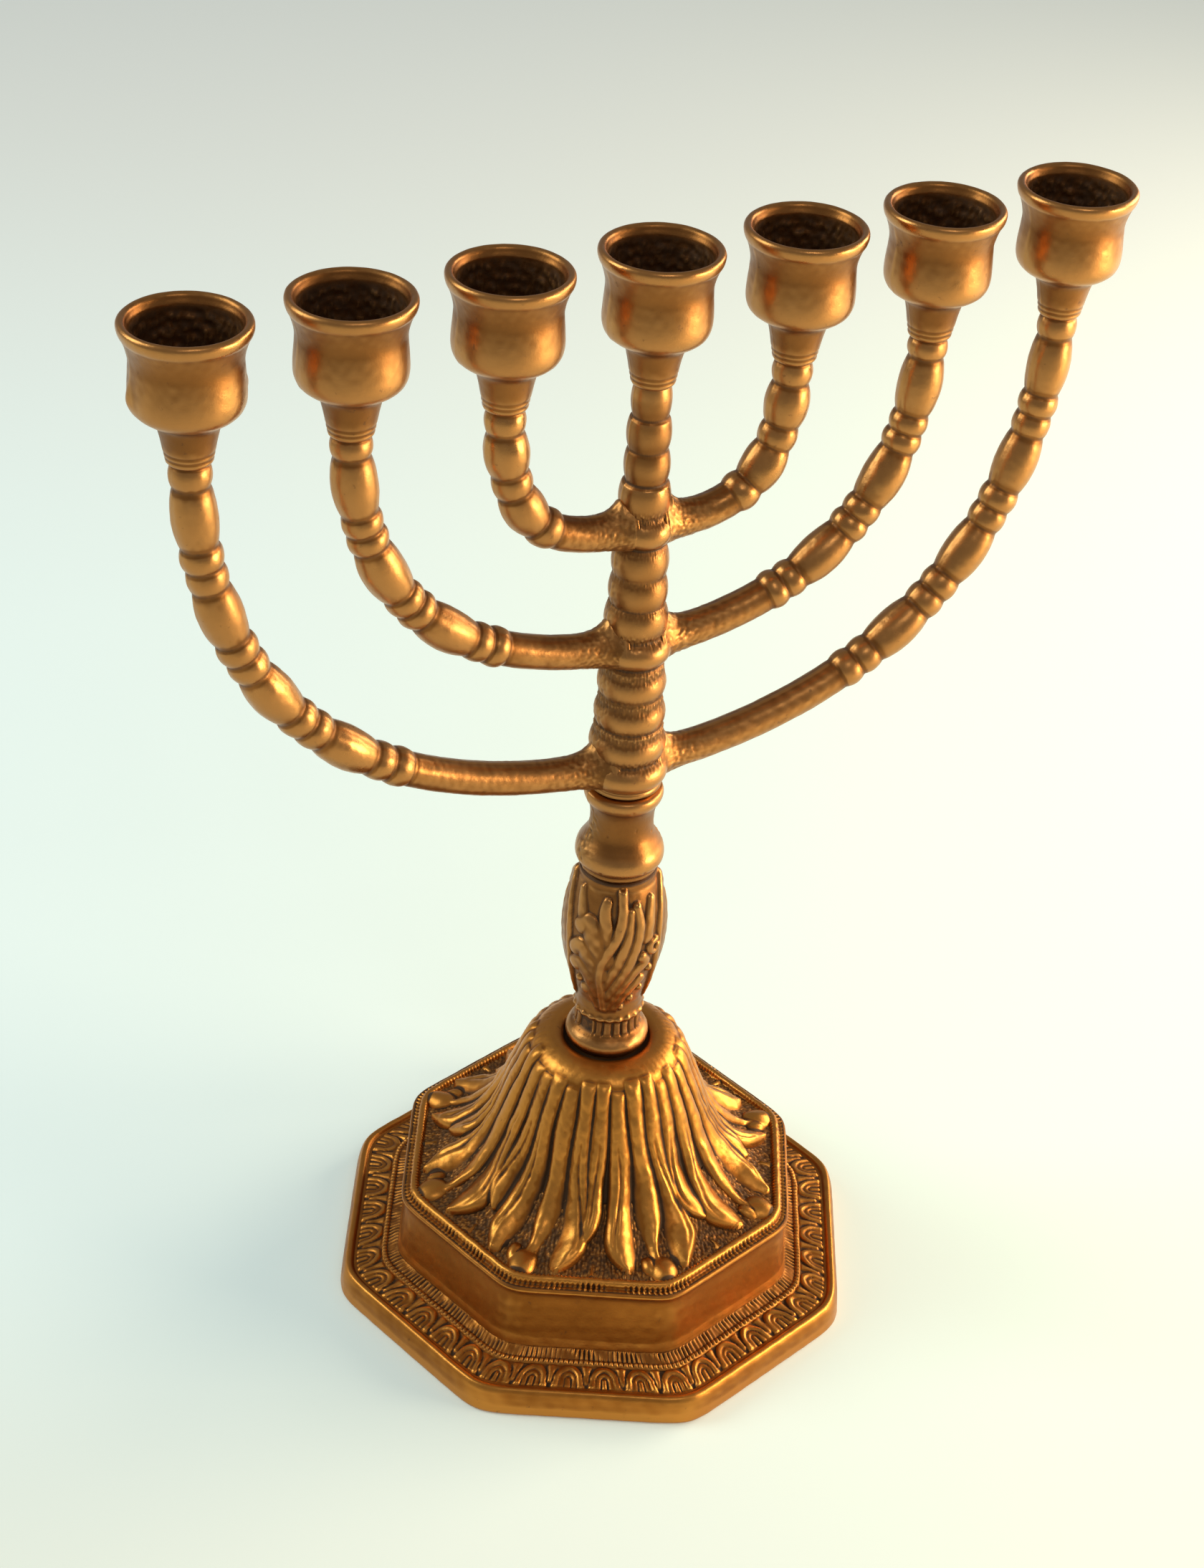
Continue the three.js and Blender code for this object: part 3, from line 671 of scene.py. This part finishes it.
def baluster():
    """The vase-shaped stem, with a slotted ring at its foot and leaves on its body."""
    foot, top = BALUSTER_FOOT, BALUSTER_TOP
    ring = [[8.2, 0], [8.8, 0.5], [9.15, 1.4], [9.05, 2.6], [8.4, 3.6], [7.6, 4.4], [7.1, 5.2]]
    neck = [[7.0, 8.2], [7.5, 8.9], [7.75, 9.5], [7.4, 10.3], [7.25, 11.2]]
    body = [[7.6, 76], [9.2, 81.6], [10.5, 87.5], [11.0, 94], [10.5, 100], [9.3, 105.5], [8.2, top]]
    outline = [[r, foot + z] for r, z in ring + neck] + body
    counts = [3, 4, 4, 4, 4, 4, 12, 4, 4, 4, 4, 8, 24, 24, 26, 24, 22, 14]
    outside = spline(outline, counts)
    under = straight([[8.2, top], [3.4, top], [3.4, foot], [8.2, foot]], 6)
    profile = np.vstack([outside[:-1], under[:-1]])
    grid, angle = turned(profile, 416)
    z = profile[:, 1:]
    outer = (np.arange(len(profile)) < len(outside) - 1)[:, None]
    facing = math.radians(-117)
    bars = 22
    phase = (angle - facing) * bars / TAU + 0.12 * lumps(grid, 3.0, 80)
    uneven = 0.75 + 0.5 * hashed(np.round(phase), 0, 6)
    bar = dome_of(phase - np.round(phase), 0.40, 2.4) * 0.6 * uneven
    wide = np.cos((angle - facing) * 2 + 1.5) > 0.86
    in_slots = ramp(foot + 4.4, foot + 5.4, z) * ramp(foot + 8.8, foot + 7.9, z)
    height = in_slots * (bar * ~wide - 0.3)
    height = height + np.exp(-(((z - foot - 9.5) / 0.7) ** 2)) * 0.16 * np.cos(angle * bars)
    around = np.angle(np.exp(2j * (angle - facing))) / 2
    x = np.broadcast_to(around * 10.5, (len(profile), len(angle)))
    zz = np.broadcast_to(z, x.shape)
    on_body = ramp(73.5, 75.5, zz) * ramp(top - 0.2, top - 1.6, zz)
    stem = [(-1.2, 71), (-2.3, 81.7), (-2.6, 88), (-1.2, 93), (0.9, 98), (1.7, 102.4), (1.5, 107.5)]
    edge = [(16.5, 73.0), (12.6, 80), (11.2, 88), (11.4, 96), (13.6, 104.0), (16.5, 108)]
    spine = [(16.5, 77), (16.2, 90), (16.5, 103)]
    stems = [
        (stem, 1.45, 1.25, 0.1),
        ([(0.4, 71), (0.1, 77), (-0.8, 82)], 0.8, 0.8, 0.5),
        (edge, 0.9, 0.85, 0.0),
        ([(-a, b) for a, b in edge], 0.9, 0.85, 0.0),
        (spine, 0.9, 0.75, 0.3),
        ([(-a, b) for a, b in spine], 0.9, 0.75, 0.3),
        ([(9.8, 94.4), (8.5, 93.8), (8.4, 92.0), (9.8, 91.4), (10.5, 92.8)], 1.0, 1.0, 0.1),
    ]
    lobes = [
        ([(-2.4, 80), (-4.6, 84.6), (-7.0, 87.8), (-9.0, 87.0)], 3.0, 1.0),
        ([(-2.6, 85.5), (-4.8, 90.0), (-6.8, 92.6), (-8.7, 91.5)], 3.0, 1.05),
        ([(-2.2, 90.5), (-3.9, 95.6), (-5.8, 99.2), (-7.5, 98.0)], 3.0, 1.05),
        ([(-0.9, 95), (-1.9, 99.5), (-2.4, 103.0), (-2.1, 105.0)], 1.8, 0.9),
        ([(-1.9, 74.0), (-3.8, 77.5), (-5.6, 80.2), (-7.0, 80.0)], 2.3, 0.8),
        ([(-1.6, 82.5), (1.0, 89.5), (2.8, 96.0), (3.5, 103.0)], 1.6, 1.0),
        ([(-0.9, 79.0), (2.4, 86.5), (4.6, 94.0), (5.6, 99.5), (5.0, 104.0)], 1.7, 1.1),
        ([(-0.8, 76.0), (2.2, 82.0), (5.0, 87.2), (7.2, 89.4), (6.5, 91.0)], 1.9, 1.05),
        ([(-0.6, 73.0), (1.8, 77.0), (4.6, 81.4), (7.0, 84.0)], 2.2, 0.85),
        ([(7.4, 96.0), (8.4, 100.5), (9.4, 104.5)], 1.8, 0.8),
        ([(-7.8, 100.5), (-8.8, 103.5), (-9.6, 106)], 1.6, 0.7),
    ]
    leaves = np.zeros(x.shape)
    for points, width, tall, taper in stems:
        leaves = np.maximum(leaves, stroke(x, zz, points, width, tall, taper))
    for points, width, tall in lobes:
        leaves = np.maximum(leaves, stroke(x, zz, points, width, tall, 0.30))
    for at, high in [(3.6, 75.4), (6.0, 78.0), (7.9, 81.0), (9.2, 86.6), (-8.6, 82.6)]:
        leaves = np.maximum(leaves, dome_of(np.hypot(x - at, zz - high), 1.0) * 0.8)
    panel_half = 4.6 * np.clip(1 - ((zz - 91) / 17) ** 2, 0, 1) ** 0.6
    panel = lobe(np.clip((16.5 - np.abs(x)) / np.maximum(panel_half, 0.05), -1, 1), 0.5) * 0.6
    leaves = np.maximum(leaves, panel)
    height = height + on_body * (leaves - 0.32 + 0.035 * lumps(grid, 1.3, 81))
    height = np.where(outer, height + 0.025 * lumps(grid, 1.0, 82), 0)
    # Painted shade in the foot ring's slots, deepest in the two wide ones.
    recess = in_slots * np.where(wide, 0.8, 0.25)
    stands_for = ["leaf_baluster"]
    reach = {"fine": (2, 3), "broad": (6, 8)}
    grid = raised(grid, height)
    piece("leaf_baluster_cast", grid, aged, "baluster", "aged_brass", stands_for, grime_and_shade=recess, **reach)


def collar():
    """The waisted ring between the baluster and the column."""
    foot, top = COLLAR_FOOT, COLLAR_TOP
    bulge = [[7.6, 0], [8.1, 0.3], [8.35, 0.9], [8.3, 1.4], [8.6, 1.8], [9.3, 2.7], [9.5, 3.8]]
    waist = [[9.2, 5.4], [8.2, 7.2], [7.2, 9.0], [6.8, 10.6], [6.7, 12.2], [6.85, 14.6]]
    flare = [[7.4, 16.6], [8.1, 17.8], [8.4, 18.9], [8.15, 20], [7.4, 20.5], [6.6, 20.6], [6.2, 20.0]]
    outline = [[r, foot + z] for r, z in bulge + waist + flare]
    outside = spline(outline, [3, 3, 3, 3, 6, 5, 7, 8, 9, 8, 7, 6, 5, 4, 4, 4, 4, 4, 3])
    under = straight([outline[-1], [3.4, top - 0.8], [3.4, foot], [7.6, foot]], 5)
    profile = np.vstack([outside[:-1], under[:-1]])
    grid, angle = turned(profile, 288)
    outer = (np.arange(len(profile)) < len(outside) - 1)[:, None]
    z = profile[:, 1:]
    seam = np.exp(-((np.sin(angle) * 9 / 0.45) ** 2))
    patch = np.exp(-(((np.sin(angle) * 9) / 2.4) ** 2))
    patch = patch * ramp(foot + 2, foot + 5, z) * ramp(foot + 17, foot + 13, z)
    pits = cells(angle * 9 + 0 * z, z + 0 * angle, 6.5, 84)
    height = 0.035 * lumps(grid, 3.2, 85) + 0.10 * seam + 0.12 * patch * lumps(grid, 0.7, 86)
    height = height - 0.10 * ramp(0.08, 0.03, pits)
    grid = raised(grid, np.where(outer, height, 0))
    sand = {"sand": patch * 0.8, "fine": (2, 3), "broad": (6, 8)}
    piece("spool_collar_cast", grid, aged, "collar", "aged_brass", ["spool_collar"], **sand)


# The candelabrum

LEVELS = [134.7, 163.9, 191.0]
HUB_RADII = [8.8, 7.6, 6.2]
HUB_HALF = 3.6
STACKS = [[8.0, 7.4, 7.1], [6.5, 6.0, 5.8], [5.2, 4.6, 4.4, 4.0]]
BEAD_SHARES = [0.70, 0.90, 1.0]
GRIT = [1.0, 0.5, 0.15]
WAISTS = [0.90, 0.90, 0.86]
ROD = 3.55
# From the lowest hub up. Cups is how many places from the stem the arm ends. Sweep and rise place the
# curve's two control points. Barrels and rings count the beads; barrel and ring are their lengths.
ARM_PAIRS = {
    "outer": dict(cups=3, sweep=46.4, rise=63.2, barrels=4, rings=2, ring=4.7, barrel=12.6),
    "middle": dict(cups=2, sweep=27.9, rise=45.4, barrels=3, rings=2, ring=4.1, barrel=12.4),
    "inner": dict(cups=1, sweep=15.2, rise=31.6, barrels=2, rings=1, ring=4.7, barrel=9.0),
}


def swell(u, waist, belly):
    """A bead's radius along its length, from 0 to 1, and its waist beyond."""
    return waist + (belly - waist) * np.sin(np.pi * np.clip(u, 0, 1)) ** 0.72


def column():
    """The centre column: three hubs, each with a stack of beads above it."""
    rows = [[3.3, COLUMN_FOOT + 0.2], [7.0, COLUMN_FOOT + 0.1], [7.7, COLUMN_FOOT + 0.3]]
    steps = 26
    valleys = []
    for stage, level in enumerate(LEVELS):
        bellies = STACKS[stage]
        share = BEAD_SHARES[stage]
        after = LEVELS[stage + 1] - HUB_HALF if stage < 2 else NECK_Z
        u = np.linspace(-1, 1, 34)[1:-1]
        ring = HUB_RADII[stage] - HUB_HALF + HUB_HALF * np.sqrt(1 - u**2)
        ring = np.maximum(ring, bellies[0] * 0.9)
        rows += list(zip(ring, level + HUB_HALF * u))
        foot = level + HUB_HALF
        step = (after - foot) / len(bellies)
        valleys.append((foot, 1.3, 0.9))
        for i, belly in enumerate(bellies):
            u = np.arange(steps) / steps
            rows += list(zip(swell(u / share, belly * WAISTS[stage], belly), foot + step * (i + u)))
            middle = foot + step * (i + 0.5 + share / 2)
            valleys.append((middle, 0.5 + step * (1 - share) / 2, GRIT[stage]))
    rows += [[3.4, NECK_Z + 0.4], [0.6, NECK_Z + 0.4]]
    profile = np.array(rows, float)
    profile[3:-2, 0] = np.convolve(profile[:, 0], [0.25, 0.5, 0.25], "same")[3:-2]
    grid, angle = turned(profile, 240)
    z = profile[:, 1:]
    gritty = sum(weight * np.exp(-(((z - at) / wide) ** 2)) for at, wide, weight in valleys)
    gritty = np.clip(gritty, 0, 1)
    web = np.exp(-((np.sin(angle) * 7 / 3.0) ** 2)) * ramp(206, 150, z)
    grit = cells(angle * 7.5 + 0 * z, z * 0.55 + 0 * angle, 0.75, 91)
    rough = 0.20 * np.clip(1 - grit / 0.6, 0, 1) + 0.06 * lumps(grid, 0.6, 92) - 0.08
    seam = 0.08 * np.exp(-((np.sin(angle) * 7 / 0.5) ** 2))
    height = gritty * rough + seam + 0.035 * lumps(grid, 2.4, 93) + 0.08 * web * lumps(grid, 0.8, 94)
    row = np.arange(len(profile))[:, None]
    height = np.where((row > 1) & (row < len(profile) - 1), height, 0)
    grid = raised(grid, height, loop=False)
    sand = np.clip(gritty * 0.30 + web * 0.55, 0, 1)
    # Darker in the valleys between the beads and where each stack meets its hub.
    reach = {"loop": False, "sand": sand, "grime_and_shade": 0.22 * gritty, "fine": (2, 2), "broad": (7, 7)}
    piece("centre_column_cast", grid, aged, "candelabrum", "aged_brass", ["centre_column"], **reach)


def bezier(p0, p1, p2, p3, count):
    """Points along a cubic curve with these four control points."""
    t = np.linspace(0, 1, count)[:, None]
    return (1 - t) ** 3 * p0 + 3 * (1 - t) ** 2 * t * p1 + 3 * (1 - t) * t**2 * p2 + t**3 * p3


def arm(name, side, cups, level, sweep, rise, barrels, rings, ring, barrel, hub):
    """One swept arm: a bar that grows out of the hub's front and back, then a row of beads."""
    tip = side * cups * PITCH
    under_cup = NECK_Z - 0.3
    knots = ((0, level), (side * sweep, level), (tip, under_cup - rise), (tip, NECK_Z + 0.6))
    curve = bezier(*[np.array(p, float) for p in knots], 3000)
    run = along(curve)
    length = run[-1]
    kinds = (["ring"] * rings + ["barrel"]) * barrels + ["ring"]
    sizes = {"ring": ring, "barrel": barrel}
    plain = length - sum(sizes[k] for k in kinds) - 0.9
    shoulder = 0.574 * hub
    root = hub - 0.65
    where = list(np.arange(shoulder - 0.6, root + 6, 0.26))
    where += list(np.linspace(root + 6, plain, int((plain - root - 6) / 0.42)))[:-1]
    radius = [ROD] * len(where)
    reached = plain
    for nth, kind in enumerate(kinds):
        size = sizes[kind]
        count = 16 if kind == "ring" else 32
        u = np.arange(count) / count
        belly = 4.38 if kind == "barrel" else 4.08
        belly = belly * (1 + 0.02 * math.sin(nth * 2.3 + cups))
        radius += list(swell(u, 3.42, belly))
        where += list(reached + size * u)
        reached += size
    where += [reached, length]
    radius += [3.4, 3.4]
    where, radius = np.array(where), np.array(radius)
    radius[1:-1] = (radius[:-2] + 2 * radius[1:-1] + radius[2:]) / 4

    def at(offset):
        return np.stack([np.interp(where + offset, run, curve[:, i]) for i in (0, 1)], -1)

    centre = at(0)
    tangent = at(0.05) - at(-0.05)
    tangent /= np.linalg.norm(tangent, axis=1, keepdims=True)
    upward = np.stack([-tangent[:, 1], tangent[:, 0]], -1) * side
    turn = np.arange(96) / 96 * TAU
    up, across = np.sin(turn), np.cos(turn)
    beyond = np.maximum(where - root, 0)[:, None]
    web = np.where(up > 0, 3.2, 0.4) * np.exp(-beyond / 2.1) * np.abs(up) ** 3 * np.sign(up)
    widened = (0.82 * hub - ROD) * np.exp(-(where - shoulder) / 2.2)
    inside_hub = 0.94 * np.sqrt(np.maximum(hub**2 - where**2, 0))
    half_width = radius + widened
    half_width = np.where(where < shoulder, np.minimum(half_width, inside_hub), half_width)
    ru = radius[:, None] * up + web
    boxy = 1 - 0.20 * np.exp(-np.maximum(where - shoulder, 0) / 3.0)[:, None]
    ra = half_width[:, None] * np.sign(across) * np.abs(across) ** boxy
    x = centre[:, :1] + upward[:, :1] * ru
    z = centre[:, 1:] + upward[:, 1:] * ru
    grid = np.stack([x, ra, z], -1)
    seam = np.exp(-(((np.abs(up) - 1) / 0.01) ** 2)) * 0.08
    if side < 0:
        grid, seam = grid[:, ::-1], seam[::-1]
    seed = cups * 3 + (1 if side > 0 else 2)
    near = np.exp(-np.maximum(where - root - 2, 0) / 6)[:, None]
    height = seam + 0.022 * lumps(grid, 2.6, seed) + 0.018 * lumps(grid, 1.0, seed + 40)
    height = height + 0.06 * near * lumps(grid, 0.55, seed + 60)
    height[0] = height[-1] = 0
    grid = raised(grid, height, loop=False)
    sand = 0.4 * near * (0.6 + 0.4 * lumps(grid, 2.0, seed + 80))
    reach = {"loop": False, "sand": sand, "fine": (2, 2), "broad": (7, 6)}
    piece(f"arm_{name}_cast", grid, aged, "candelabrum", "aged_brass", [f"arm_{name}"], **reach)


def cup(nth, at):
    """A flared candle cup with a rolled rim and a rough bore."""
    cone = [[3.9, 27.6], [4.35, 27.0], [4.6, 25.8], [4.95, 23.8], [5.4, 21.6], [5.95, 19.8]]
    bulge = [[6.9, 18.8], [8.5, 17.9], [9.75, 16.8], [10.35, 15.5], [10.55, 13.9], [10.45, 11.5]]
    flare = [[10.25, 9], [10.2, 7], [10.6, 5], [11.3, 3], [11.75, 2.2]]
    rim = [[12.0, 1.2], [11.9, 0.5], [11.5, 0.05], [11.0, 0.0], [10.5, 0.35], [10.2, 1.0]]
    bore = [[9.85, 1.8], [9.7, 4], [9.5, 8], [9.4, 12], [9.1, 14.2], [7.6, 14.9], [4, 15], [0.3, 15]]
    outside = cone + bulge + flare + rim
    cone_counts = [3, 4, 6, 5, 5, 5]
    counts = cone_counts + [5, 5, 5, 6, 6, 7, 6, 6, 6, 4, 4, 4, 4, 4, 4, 4, 4, 6, 10, 10, 7, 4, 3, 3]
    profile = spline(outside + bore, counts)
    depth = profile[:, 1:]
    grid, angle = turned(np.stack([profile[:, 0], RIM_Z - profile[:, 1]], -1), 176)
    row = np.arange(len(profile))[:, None]
    inside = row > sum(counts[: len(outside)])
    rings = -0.20 * np.exp(-(((depth - 26.3) / 0.28) ** 2))
    rings = rings - 0.17 * np.exp(-(((depth - 25.2) / 0.25) ** 2))
    seam = 0.05 * np.exp(-((np.sin(angle) * 10 / 0.5) ** 2)) * ramp(1.5, 4, depth)
    moved = grid + np.array([at * 3.0, 0, 0])
    rough = 0.16 * lumps(moved, 1.1, 101) + 0.12 * lumps(moved, 0.5, 102)
    smooth = rings + seam + 0.022 * lumps(moved, 4.5, 103) + 0.010 * lumps(moved, 1.0, 104)
    if nth == 1:
        flash = np.exp(-((np.sin(angle) * 10 / 1.4) ** 2))
        smooth = smooth + 0.6 * flash * np.exp(-(((depth - 13.5) / 2.2) ** 2))
    height = np.where(inside, rough * ramp(2.0, 4.0, depth), smooth)
    height[0] = height[-1] = 0
    grid = raised(grid, height, loop=False) + np.array([at, 0, 0])
    # Painted shade inside the bore, from just below the rim downwards.
    grime_and_shade = inside * ramp(0.8, 3.0, depth) * 0.62
    reach = {"loop": False, "grime_and_shade": grime_and_shade, "fine": (2, 2), "broad": (6, 6)}
    name = f"candle_cup_{nth}"
    piece(f"{name}_cast", grid, aged, "candelabrum", "aged_brass", [name], **reach)


# The tie rod and its fasteners


def hardware(name, grid, body, node, loop=True):
    """A plated steel piece that stands for one node."""
    piece(name, grid, plated, body, "steel_hardware", [node], loop=loop, fine=(1, 1), broad=(3, 3))


def tie_rod():
    """The threaded rod, with plain ends."""
    low, high = foot_of("tie_rod"), top_of("tie_rod")
    inner = np.arange(low + 0.3, high - 0.3, 0.22)
    z = np.concatenate([[low, low + 0.05], inner, [high - 0.05, high]])[:, None]
    count = 40
    angle = np.arange(count) / count * TAU
    pitch = 1.0
    core, thread_depth, plain_end = 2.35, 0.5, 2.3
    phase = z / pitch - angle / TAU
    thread = np.abs((phase - np.floor(phase)) * 2 - 1)
    radius = core + thread_depth * np.clip(thread * 1.25 - 0.12, 0, 1)
    radius = np.where((z < low + 0.2) | (z > high - 0.2), plain_end, radius)
    hardware("threaded_tie_rod", around_stem(radius, angle, z), "candelabrum", "tie_rod", loop=False)


def washer():
    """The plain washer, rounded at its edges by the punch."""
    low, high = foot_of("plain_washer"), top_of("plain_washer")
    lower = [[3.3, low + 0.3], [3.55, low], [5.6, low], [5.95, low + 0.3]]
    upper = [[5.95, high - 0.35], [5.55, high], [3.5, high], [3.3, high - 0.3]]
    grid, _ = turned(spline(lower + upper + lower[:1], 4)[:-1], 96)
    hardware("plain_washer_punched", grid, "washers", "plain_washer")


def lock_washer():
    """The split washer: an open ring whose two ends stand at different heights."""
    low, high = foot_of("lock_washer"), top_of("lock_washer")
    lower = [[3.35, low + 0.35], [3.6, low + 0.15], [5.2, low + 0.15], [5.5, low + 0.4]]
    upper = [[5.5, high - 0.4], [5.2, high - 0.15], [3.6, high - 0.15], [3.35, high - 0.35]]
    section = spline(lower + upper + lower[:1], 3)[:-1]
    half_split = 0.13
    turn = np.linspace(half_split, TAU - half_split, 90)[:, None]
    rise = 0.22 * (turn / TAU - 0.5)
    grid = around_stem(section[:, 0], turn, section[:, 1] + rise)
    hardware("split_lock_washer", grid, "washers", "lock_washer", loop=False)


def nut():
    """The hexagon nut, with its corners chamfered."""
    low, high = foot_of("hex_nut"), top_of("hex_nut")
    bore, chamfered, corner, chamfer = 3.2, 4.6, 5.77, 0.62
    lower = [[bore, low + 0.5], [3.5, low], [chamfered, low], [corner, low + chamfer]]
    upper = [[corner, high - chamfer], [chamfered, high], [3.5, high], [bore, high - 0.5]]
    profile = straight(lower + upper + lower[:1], 0.3)[:-1]
    angle = np.arange(180) / 180 * TAU
    side = np.round(angle / (TAU / 6)) * (TAU / 6)
    half_across = 4.95
    radius = np.minimum(profile[:, :1], half_across / np.cos(angle - side))
    hardware("hexagon_nut", around_stem(radius, angle, profile[:, 1:]), "nut", "hex_nut")


lower_tier()
foot_strip()
middle_tier()
groove_band()
ground()
leaf_dome()
baluster()
collar()
column()
for side, hand in ((-1, "left"), (1, "right")):
    for stage, pair in enumerate(ARM_PAIRS):
        arm(f"{pair}_{hand}", side, level=LEVELS[stage], hub=HUB_RADII[stage], **ARM_PAIRS[pair])
for nth, at in enumerate(CUP_X, 1):
    cup(nth, at)
tie_rod()
washer()
lock_washer()
nut()


# Studio. Lengths here are in metres.

FLOOR_GLOW = 0.16
FLOOR_HALF = 4.0
SKY = (0.93, 0.97, 1.0, 1.0)
SKY_STRENGTH = 0.30
LENS = 65.2
CAMERA_AT = (-0.23226, -0.42899, 0.46535)
CAMERA_FORWARD = (0.385172, 0.727663, -0.567582)
CAMERA_UP = (0.206598, 0.531434, 0.821520)


def area_light(name, place, target, size, power, tint):
    """A rectangular light at one place, aimed at another."""
    data = bpy.data.lights.new(name, "AREA")
    data.shape = "RECTANGLE"
    data.size, data.size_y = size
    data.energy = power
    data.color = tint
    light = bpy.data.objects.new(name, data)
    bpy.context.scene.collection.objects.link(light)
    light.location = place
    light.rotation_euler = (Vector(target) - Vector(place)).to_track_quat("-Z", "Y").to_euler()


def studio():
    """The pale floor with painted tints of the lights, the sky and four lights."""
    n = Nodes("studio_floor")
    place = n.add("ShaderNodeTexCoord").outputs["Object"]

    def toward(x, y):
        inputs = {0: place, 1: (x, y, 0)}
        return n.add("ShaderNodeVectorMath", inputs, operation="DOT_PRODUCT").outputs["Value"]

    # Painted light tints on the floor: cool cyan towards the left, warmer towards the right, the camera
    # and the far side.
    sideways = n.spread(toward(0.88, -0.47), -0.22, 0.22)
    near = n.spread(toward(-0.46, -0.89), 0.0, 0.14)
    far = n.spread(toward(0.46, 0.89), 0.2, 0.7)
    paper_and_light_tint = n.mix(sideways, colour(0.84, 0.97, 0.95), colour(0.85, 0.96, 0.85))
    paper_and_light_tint = n.mix(n.math("MULTIPLY", far, 0.8), paper_and_light_tint, colour(0.86, 0.88, 0.83))
    paper_and_light_tint = n.mix(n.math("MULTIPLY", near, 0.8), paper_and_light_tint, colour(0.86, 0.90, 0.80))
    inputs = {"Base Color": paper_and_light_tint, "Roughness": 0.8, "Emission Color": paper_and_light_tint}
    inputs["Emission Strength"] = FLOOR_GLOW
    shader = n.add("ShaderNodeBsdfPrincipled", inputs)
    n.add("ShaderNodeOutputMaterial", {"Surface": shader.outputs[0]})
    mesh = bpy.data.meshes.new("studio_floor")
    half = FLOOR_HALF
    corners = [(-half, -half, 0), (half, -half, 0), (half, half, 0), (-half, half, 0)]
    mesh.from_pydata(corners, [], [(0, 1, 2, 3)])
    mesh.materials.append(n.material)
    floor = bpy.data.objects.new("studio_floor", mesh)
    bpy.context.scene.collection.objects.link(floor)
    world = bpy.data.worlds.new("studio")
    world.use_nodes = True
    background = world.node_tree.nodes["Background"]
    background.inputs["Color"].default_value = SKY
    background.inputs["Strength"].default_value = SKY_STRENGTH
    bpy.context.scene.world = world
    middle = (0, 0, 0.13)
    area_light("key_right", (0.80, 0.03, 0.32), (0, 0, 0.08), (0.50, 0.40), 5.4, (1.0, 0.86, 0.66))
    area_light("key_low", (0.62, -0.46, 0.20), (0, 0, 0.06), (0.35, 0.25), 4.5, (1.0, 0.84, 0.60))
    area_light("window_left", (-0.85, 0.45, 0.75), middle, (0.5, 0.7), 5.2, (0.90, 1.0, 0.96))
    area_light("front_top", (-0.15, -0.9, 1.2), middle, (0.4, 0.3), 1.5, (1.0, 0.97, 0.92))


def camera():
    """The photograph's camera, as it was fitted to the object."""
    data = bpy.data.cameras.new("camera")
    data.lens = LENS
    data.sensor_width = 36
    data.sensor_fit = "AUTO"
    data.clip_start = 0.01
    forward = Vector(CAMERA_FORWARD).normalized()
    up = Vector(CAMERA_UP)
    right = forward.cross(up).normalized()
    up = right.cross(forward)
    turn = Matrix((right, up, -forward)).transposed()
    obj = bpy.data.objects.new("camera", data)
    obj.matrix_world = Matrix.Translation(CAMERA_AT) @ turn.to_4x4()
    bpy.context.scene.collection.objects.link(obj)
    bpy.context.scene.camera = obj


studio()
camera()
bpy.context.scene.view_settings.view_transform = "Standard"
